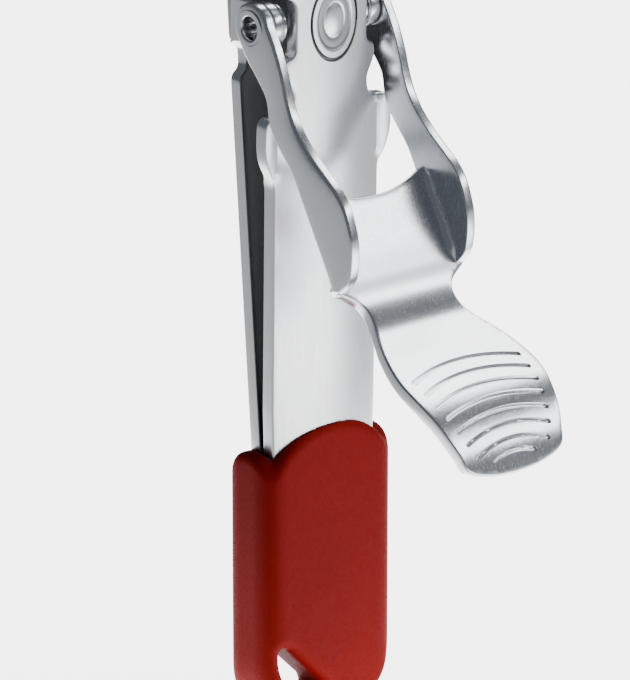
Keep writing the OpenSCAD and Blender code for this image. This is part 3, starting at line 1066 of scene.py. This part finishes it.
def maths(tree, operation, *values):
    """Math node with numbers or sockets as its inputs."""
    node = tree.nodes.new("ShaderNodeMath")
    node.operation = operation
    for socket, value in zip(node.inputs, values):
        if isinstance(value, (int, float)):
            socket.default_value = value
        else:
            tree.links.new(value, socket)
    return node.outputs[0]


def fading(tree, value, near, far):
    """1 up to near, falling softly to 0 at far."""
    node = mapped(tree, value, near, far, 1.0, 0.0)
    node.interpolation_type = "SMOOTHSTEP"
    return node.outputs["Result"]


def painted_floor_pools(tree):
    """Painted pools of light on the floor, made by its emission: one before the clipper and one stretching
    away behind it.
    """
    place = tree.nodes.new("ShaderNodeTexCoord")
    parts = tree.nodes.new("ShaderNodeSeparateXYZ")
    tree.links.new(place.outputs["Object"], parts.inputs[0])

    def sum_of(a, b):
        """a times the floor's x plus b times its y."""
        along_x = maths(tree, "MULTIPLY", parts.outputs[0], a)
        return maths(tree, "ADD", along_x, maths(tree, "MULTIPLY", parts.outputs[1], b))

    off_x = maths(tree, "POWER", maths(tree, "SUBTRACT", parts.outputs[0], POOL_X), 2)
    off_y = maths(tree, "POWER", maths(tree, "SUBTRACT", parts.outputs[1], POOL_Y), 2)
    off = maths(tree, "SQRT", maths(tree, "ADD", off_x, off_y))
    before = fading(tree, off, POOL_BRIGHT, POOL_END)
    nearness = sum_of(math.sin(VIEW_AZIMUTH), -math.cos(VIEW_AZIMUTH))
    sideways = maths(tree, "ABSOLUTE", sum_of(math.cos(VIEW_AZIMUTH), math.sin(VIEW_AZIMUTH)))
    widening = maths(tree, "ADD", maths(tree, "MULTIPLY", nearness, -BACK_WIDENING), 1)
    behind = fading(tree, maths(tree, "DIVIDE", sideways, widening), BACK_BRIGHT, BACK_END)
    beyond = fading(tree, nearness, BACK_FULL, BACK_START)
    return maths(tree, "MAXIMUM", maths(tree, "MULTIPLY", behind, beyond), before)


def floor():
    """Pale floor just under the clipper, with painted pools of light glowing in it."""
    corners = [(-1, -1), (1, -1), (1, 1), (-1, 1)]
    mesh = bpy.data.meshes.new("studio_floor")
    mesh.from_pydata([(x * FLOOR_HALF, y * FLOOR_HALF, 0) for x, y in corners], [], [(0, 1, 2, 3)])
    obj = bpy.data.objects.new("studio_floor", mesh)
    bpy.context.scene.collection.objects.link(obj)
    material, tree, bsdf = shader("floor_painted_light", Base_Color=(0.85, 0.85, 0.85, 1), Roughness=0.9)
    bsdf.inputs["Emission Color"].default_value = (1, 1, 1, 1)
    # Painted light: the floor glows with the pools of light on top of an even base glow
    glow = maths(tree, "ADD", maths(tree, "MULTIPLY", painted_floor_pools(tree), POOL_LIGHT), FLOOR_LIGHT)
    tree.links.new(glow, bsdf.inputs["Emission Strength"])
    mesh.materials.append(material)
    obj.location.z = cad_box[0].z - FLOOR_DROP


def bearing(azimuth, elevation):
    """Direction from the clipper towards a bearing. Azimuth 0 is -Y and 90 degrees is +X."""
    flat = math.cos(elevation)
    return Vector((math.sin(azimuth) * flat, -math.cos(azimuth) * flat, math.sin(elevation)))


def turned_to(obj, back):
    """Turns a light or the camera to look against the direction back."""
    obj.rotation_mode = "QUATERNION"
    obj.rotation_quaternion = back.to_track_quat("Z", "Y")
    bpy.context.scene.collection.objects.link(obj)


def area_light(name, azimuth, elevation, size, watts):
    """Soft light at a bearing in degrees from the clipper's middle, with its size in metres."""
    distance = 0.8
    back = bearing(math.radians(azimuth), math.radians(elevation))
    data = bpy.data.lights.new(name, "AREA")
    data.shape = "RECTANGLE"
    data.size, data.size_y = size
    data.energy = watts
    obj = bpy.data.objects.new(name, data)
    obj.location = (cad_box[0] + cad_box[1]) / 2 + back * distance
    turned_to(obj, back)


def world():
    """Dim cool surroundings."""
    made = bpy.data.worlds.new("studio")
    made.use_nodes = True
    background = made.node_tree.nodes["Background"]
    background.inputs["Color"].default_value = (0.8, 0.89, 0.98, 1)
    background.inputs["Strength"].default_value = 0.15
    bpy.context.scene.world = made


def camera():
    """Camera to the left and above, close on the middle of the clipper."""
    data = bpy.data.cameras.new("camera")
    data.sensor_width = 36
    data.lens = CAMERA_LENS
    data.clip_start, data.clip_end = 0.01, 20
    back = bearing(VIEW_AZIMUTH, VIEW_ELEVATION)
    obj = bpy.data.objects.new("camera", data)
    obj.location = (CAMERA_AIM + back * CAMERA_DISTANCE) * MM
    turned_to(obj, back)
    bpy.context.scene.camera = obj


camera()
floor()
world()
area_light("key", 42, 28, (0.52, 0.16), 1.7)
area_light("side", 104, 51, (0.42, 0.3), 2.5)
front_jaw()
rear_jaw()
lever()
eyelet(-1, "eyelet_left")
eyelet(1, "eyelet_right")
end_cap()
finish_hidden_nodes()
